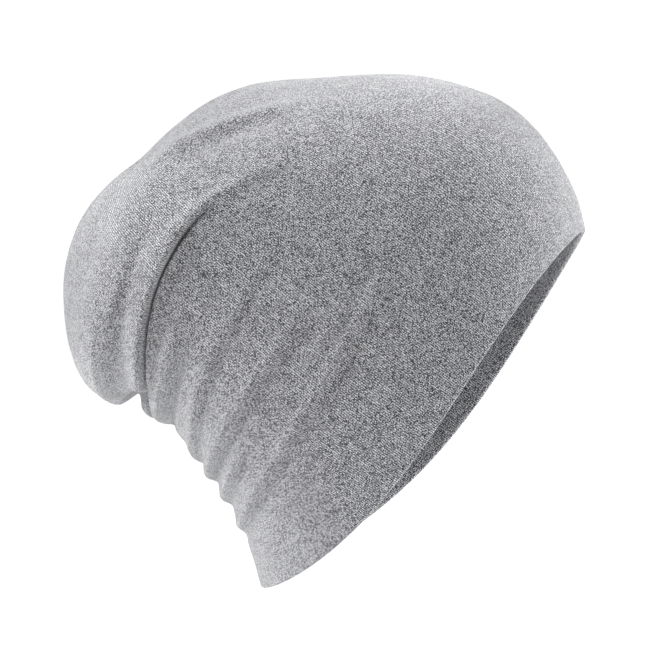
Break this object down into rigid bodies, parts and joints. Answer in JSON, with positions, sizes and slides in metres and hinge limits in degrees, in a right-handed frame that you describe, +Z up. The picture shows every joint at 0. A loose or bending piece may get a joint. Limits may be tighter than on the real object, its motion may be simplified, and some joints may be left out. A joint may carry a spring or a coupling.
{
  "type": "slouchy beanie",
  "caption": "Slouchy jersey beanie held open as worn: one hollow shell with a slanted open brim, bunched folds at the nape and a soft pouch behind.",
  "frame": {"origin": "centre of the head opening, halfway between the brim's front and its nape", "axes": "+X the wearer's front, +Y the wearer's left, +Z up as in the picture; the opening's plane is tipped 48 degrees up at the front"},
  "size_m": [0.2127, 0.1698, 0.2109],
  "materials": {
    "jersey": "matte heather-grey fine jersey"
  },
  "bodies": {
    "root": {"beanie_shell": "jersey"}
  },
  "joints": []
}
